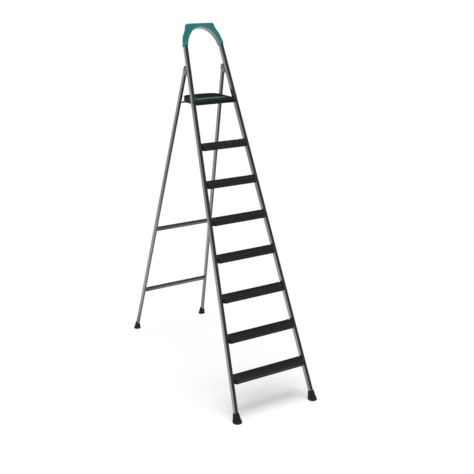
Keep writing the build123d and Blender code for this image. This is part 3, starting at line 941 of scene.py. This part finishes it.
def make_platform():
    low = platform_top - platform_rear_skirt
    front = platform_pin_y + platform_front
    level_from = platform_pin_y + platform_level_from
    tray = start_platform_slab("platform_tray", 0, low, platform_top + platform_rim)
    cut((0, level_from, 0), (0, 1, 0))
    cut((0, platform_pin_y + platform_rim_from, 0), (0, 1, 0))
    pick_faces(lambda c, n: n.z > 0.99)
    bpy.ops.mesh.inset(thickness=platform_rim_width)
    extrude((0, 0, -platform_rim))
    pick("VERT", lambda v: v.co.z > platform_top - hair and v.co.y < front + platform_flat_front)
    flatten(platform_top)
    bpy.ops.mesh.select_all(action="SELECT")
    bpy.ops.mesh.remove_doubles(threshold=weld)

    def is_crest(edge):
        sharp = edge.is_convex and edge.calc_face_angle() > radians(35)
        return sharp and all(vertex.co.z > platform_top - hair for vertex in edge.verts)

    pick("EDGE", is_crest)
    round_edges(platform_rim_round, 3)

    def on_deck(centre, normal):
        level = normal.z > 0.99 and abs(centre.z - platform_top) < hair
        return level and centre.y > front + platform_flat_front

    pick_faces(on_deck)
    bpy.ops.mesh.inset(thickness=platform_rim_width)
    extrude((0, 0, -mat_recess))
    mesh = bmesh.from_edit_mesh(tray.data)
    for vertex in mesh.verts:
        if vertex.co.z < low + hair:
            share = max(0.0, (level_from - vertex.co.y) / (level_from - front))
            vertex.co.z += share * (platform_rear_skirt - platform_front_skirt)
    bmesh.update_edit_mesh(tray.data)
    pick_faces(lambda c, n: n.z < -0.99)
    bpy.ops.mesh.inset(thickness=platform_wall)
    extrude((0, 0, platform_wall))
    flatten(platform_top - platform_plate)
    close(tray)
    blocks = [tray]
    under = platform_top - platform_plate + plate_bite
    block_low = platform_top - platform_front_skirt
    for side in (-1, 1):
        outer = side * (platform_half_width - pivot_block_inset)
        inner = outer - side * pivot_block_length
        block = start_block(
            "pivot_block",
            (min(outer, inner), platform_pin_y - pivot_block_half_depth, block_low),
            (max(outer, inner), platform_pin_y + pivot_block_half_depth, under),
        )
        pick_edges(lambda co: co.z < block_low + hair)
        round_edges(pivot_block_round, 3)
        blocks.append(close(block))
        rib_x = side * rest_rib_x
        rib = start_block(
            "rest_rib",
            (rib_x - rest_rib_half_width, rest_rod_y - rest_rib_half_depth, low),
            (rib_x + rest_rib_half_width, rest_rod_y + rest_rib_half_depth, under),
        )
        pick_edges(lambda co: co.z < low + hair)
        round_edges(rest_rib_round, 2)
        blocks.append(close(rib))
    whole = join("platform_tray", blocks)
    settle(whole, "platform", "platform_plastic", [finishes["platform_plastic"]], "platform")


def make_platform_mat():
    mat = start_platform_slab(
        "platform_inlay", mat_margin, platform_top - mat_bed, platform_top + mat_proud
    )
    front = min(vertex.co.y for vertex in bmesh.from_edit_mesh(mat.data).verts)
    grooves = []
    for step in range(mat_groove_count):
        groove = front + mat_first_groove + mat_groove_pitch * step
        behind = groove - platform_pin_y
        if mat_plain_from < behind < mat_plain_to or behind > mat_groove_end:
            continue
        grooves.append(groove)
        cut((0, groove, 0), (0, 1, 0))
        cut((0, groove + groove_width, 0), (0, 1, 0))

    def in_groove(centre, normal):
        inside = any(groove < centre.y < groove + groove_width for groove in grooves)
        return inside and normal.z > 0.99

    pick_faces(in_groove)
    extrude((0, 0, -mat_groove_depth))
    close(mat)
    settle(mat, "platform", "mat_plastic", [finishes["mat_plastic"]], "platform_mat")


make_platform()
make_platform_mat()


# Shoes and feet: a collar bead, a waisted flare and a sole with a worn lower rim
def make_boot(name, node, body, tube, sole):
    """A boot from a collar across the tube to a sole on the floor, with a socket for the tube."""

    def ring(share, grow, drop=0.0):
        upper = rounded_ring(
            tube["place"],
            tube["across"],
            tube["back"],
            tube["half_width"] + tube["wall"] + grow,
            tube["half_depth"] + tube["wall"] + grow,
            tube["corner"] + tube["wall"] + grow,
        )
        lower = rounded_ring(
            sole["place"],
            Vector((1, 0, 0)),
            Vector((0, 1, 0)),
            sole["half_width"] + grow,
            sole["half_depth"] + grow,
            sole["corner"] + grow,
        )
        return [a.lerp(b, share) + Vector((0, 0, drop)) for a, b in zip(upper, lower)]

    def socket_ring(depth):
        return rounded_ring(
            tube["place"] - tube["along"] * depth,
            tube["across"],
            tube["back"],
            tube["half_width"] + boot_socket_play,
            tube["half_depth"] + boot_socket_play,
            tube["corner"],
        )

    # Each ring: its share of the way from collar to sole, and how far it stands out or in there
    rings = [
        socket_ring(boot_socket_depth),
        socket_ring(boot_socket_lip),
        ring(0.0, -0.0022),
        ring(0.012, -0.0007),
        ring(0.04, 0.0),
        ring(0.13, 0.0),
        ring(0.155, -0.0012),
        ring(0.20, -0.0014),
        ring(0.225, -0.0004),
        ring(0.40, -0.0012),
        ring(0.60, -0.0014),
        ring(0.76, -0.0008),
        ring(0.82, -0.0004),
        ring(0.835, -0.0014),
        ring(0.855, -0.0014),
        ring(0.87, -0.0002),
        ring(0.965, 0.0),
        ring(0.99, -0.0004),
        ring(1.0, -0.0014),
        ring(1.0, -0.0070),
        ring(1.0, -0.0080, 0.0016),
    ]
    boot = loft(name, rings)
    close(boot, 50)
    settle(boot, body, "foot_rubber", [finishes["foot_rubber"]], node)


def tube_frame(side, foot_half_width, foot_y, tube_lean, draw_in, slope):
    """The place on a tube's middle at a slope height and the directions across, back and along."""
    up_slope = Vector((0, sin(tube_lean), cos(tube_lean)))
    x = Vector((1, 0, 0))
    place = Vector((side * (foot_half_width - slope * tan(draw_in)), foot_y, 0)) + up_slope * slope
    across = x * cos(draw_in) + up_slope * (side * sin(draw_in))
    along = up_slope * cos(draw_in) - x * (side * sin(draw_in))
    return {"place": place, "across": across, "back": along.cross(across), "along": along}


for side_name, side in sides:
    stile_end = tube_frame(
        side, stile_half_width, front_foot_y, lean, taper, front_boot_height
    )
    stile_end.update(
        half_width=stile_width / 2,
        half_depth=stile_depth / 2,
        corner=stile_corner,
        wall=front_boot_wall,
    )
    make_boot(
        f"{side_name}_front_boot",
        f"{side_name}_front_shoe",
        "front_frame",
        stile_end,
        {
            "place": Vector((side * sole_x, front_foot_y + front_sole_shift, 0)),
            "half_width": front_sole_half_width,
            "half_depth": front_sole_half_width,
            "corner": front_sole_corner,
        },
    )
    leg_end = tube_frame(
        side, stile_half_width, rear_foot_y, -leg_lean, leg_taper, rear_boot_height
    )
    leg_end.update(
        half_width=leg_width / 2,
        half_depth=leg_depth / 2,
        corner=leg_corner,
        wall=rear_boot_wall,
    )
    make_boot(
        f"{side_name}_rear_boot",
        f"{side_name}_rear_foot",
        "rear_frame",
        leg_end,
        {
            "place": Vector((side * sole_x, rear_foot_y + rear_sole_shift, 0)),
            "half_width": rear_sole_half_width,
            "half_depth": rear_sole_half_width,
            "corner": rear_sole_corner,
        },
    )


# Floor, light and camera
def make_floor():
    bpy.ops.object.select_all(action="DESELECT")
    bpy.ops.mesh.primitive_plane_add(size=60, location=(0, 0, 0))
    floor = bpy.context.object
    floor.name = "floor"
    material = bpy.data.materials.new("floor_white")
    material.use_nodes = True
    sheet = Sheet(material.node_tree)
    material.node_tree.nodes.clear()
    mirrored = sheet.add("ShaderNodeLightPath", output="Is Glossy Ray")
    lit = sheet.add("ShaderNodeBsdfDiffuse", None, {"Color": (0.97, 0.97, 0.97, 1)})
    white = sheet.add("ShaderNodeEmission", None, {"Color": (1, 1, 1, 1), "Strength": 1.0})
    direct = sheet.add("ShaderNodeLightPath", output="Is Camera Ray")
    through = sheet.add("ShaderNodeLightPath", output="Is Transmission Ray")
    across = sheet.axis("X")
    behind = sheet.axis("Y")
    # The floor is part lit, which keeps the shadow, and part glowing plain white, more so to the
    # back.
    # The glow paints the shadow fainter, most of all towards the back.
    middle_share = sheet.between(behind, -0.62, -0.36, 0.23, 0.63)
    white_glow_share = middle_share + sheet.between(behind, -0.36, 0.0, 0.0, 0.24)
    share = (direct + mirrored + through) * white_glow_share
    pale = sheet.add("ShaderNodeMixShader", None, {0: share, 1: lit, 2: white})
    # Painted reflection: metal mirrors it so to the rear left and far behind, and a painted grey
    # floor elsewhere.
    left_of = sheet.between(across + 0.49 * behind, 0.12, -0.05)
    rear_left = left_of * sheet.between(behind + 0.6 * across, -1.05, -0.80)
    far = sheet.between(behind, 0.8, 1.4)
    fading = sheet.between(behind, 0.5, 4.5, 1.0, 0.5)
    bright = (rear_left + far - rear_left * far) * fading
    nearer = sheet.between(behind, -0.5, 0.15)
    # The painted grey is darker near the front and paler below the braces; only reflections show
    # it.
    dark_grey = sheet.blend(nearer, (0.2, 0.2, 0.2), (0.24, 0.24, 0.24))
    right_of = sheet.between(across + 0.67 * behind, 0.26, 0.31)
    below_braces = right_of * sheet.between(behind, -0.25, 0.0)
    grey = sheet.blend(below_braces, dark_grey, (0.55, 0.55, 0.55))
    painted_reflection = sheet.add("ShaderNodeEmission", None, {"Color": grey, "Strength": 1.0})
    seen = sheet.add("ShaderNodeMixShader", None, {0: mirrored * (1 - bright), 1: pale, 2: painted_reflection})
    sheet.add("ShaderNodeOutputMaterial", None, {"Surface": seen})
    floor.data.materials.append(material)


def make_world():
    world = bpy.data.worlds.new("studio")
    world.use_nodes = True
    sheet = Sheet(world.node_tree)
    direct = sheet.add("ShaderNodeLightPath", output="Is Camera Ray")
    mirrored = sheet.add("ShaderNodeLightPath", output="Is Glossy Ray")
    way = sheet.add("ShaderNodeTexCoord", output="Generated")
    height = sheet.add("ShaderNodeSeparateXYZ", None, {0: way}, "Z")
    depth = sheet.add("ShaderNodeSeparateXYZ", None, {0: way}, "Y")
    # White to the camera; metal mirrors a dark room that is bright along the horizon behind.
    horizon = sheet.between(height, 0.15, 0.02) * sheet.between(depth, -0.6, 0.3, 0.05, 1.0)
    room = 0.11 + 0.80 * horizon
    soft_light = 0.56
    unseen = mirrored * room + (1 - mirrored) * soft_light
    background = world.node_tree.nodes["Background"]
    background.inputs["Color"].default_value = (1, 1, 1, 1)
    sheet.put(background.inputs["Strength"], direct + (1 - direct) * unseen)
    bpy.context.scene.world = world


def make_sun():
    lamp = bpy.data.lights.new("soft_lamp", "SUN")
    lamp.energy = 1.75
    lamp.angle = radians(36)
    holder = bpy.data.objects.new("soft_lamp", lamp)
    holder.rotation_euler = (0, radians(-2), 0)
    bpy.context.scene.collection.objects.link(holder)


def make_camera():
    camera = bpy.data.cameras.new("camera")
    camera.sensor_width = 36
    camera.lens = focal_length / photo_width * camera.sensor_width
    camera.clip_end = 200
    holder = bpy.data.objects.new("camera", camera)
    holder.location = camera_place
    holder.rotation_euler = (pi / 2 - camera_dip, 0, -camera_turn)
    bpy.context.scene.collection.objects.link(holder)
    bpy.context.scene.camera = holder


make_floor()
make_world()
make_sun()
make_camera()
bpy.context.scene.view_settings.view_transform = "Standard"
